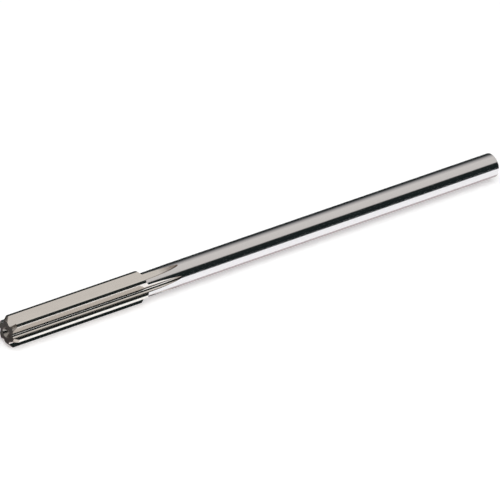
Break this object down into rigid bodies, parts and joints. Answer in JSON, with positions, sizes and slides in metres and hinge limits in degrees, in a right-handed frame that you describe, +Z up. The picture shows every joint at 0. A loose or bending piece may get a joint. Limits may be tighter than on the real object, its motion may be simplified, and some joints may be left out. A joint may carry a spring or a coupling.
{
  "type": "machine reamer",
  "caption": "Straight-shank machine reamer: a straight-fluted cutting head with a bevel lead on a thinner, plain, ground shank, with a centre hole in each end.",
  "frame": {"origin": "centre of the shank's end face, on the tool's axis", "axes": "+X along the tool's axis from the cutting end to the shank's end, +Z up with the tool lying on two teeth"},
  "size_m": [0.19, 0.01, 0.0092],
  "materials": {
    "ground_steel": "bright ground high-speed steel, polished on the shank and duller on the front face"
  },
  "bodies": {
    "root": {"reamer": "ground_steel"}
  },
  "joints": []
}
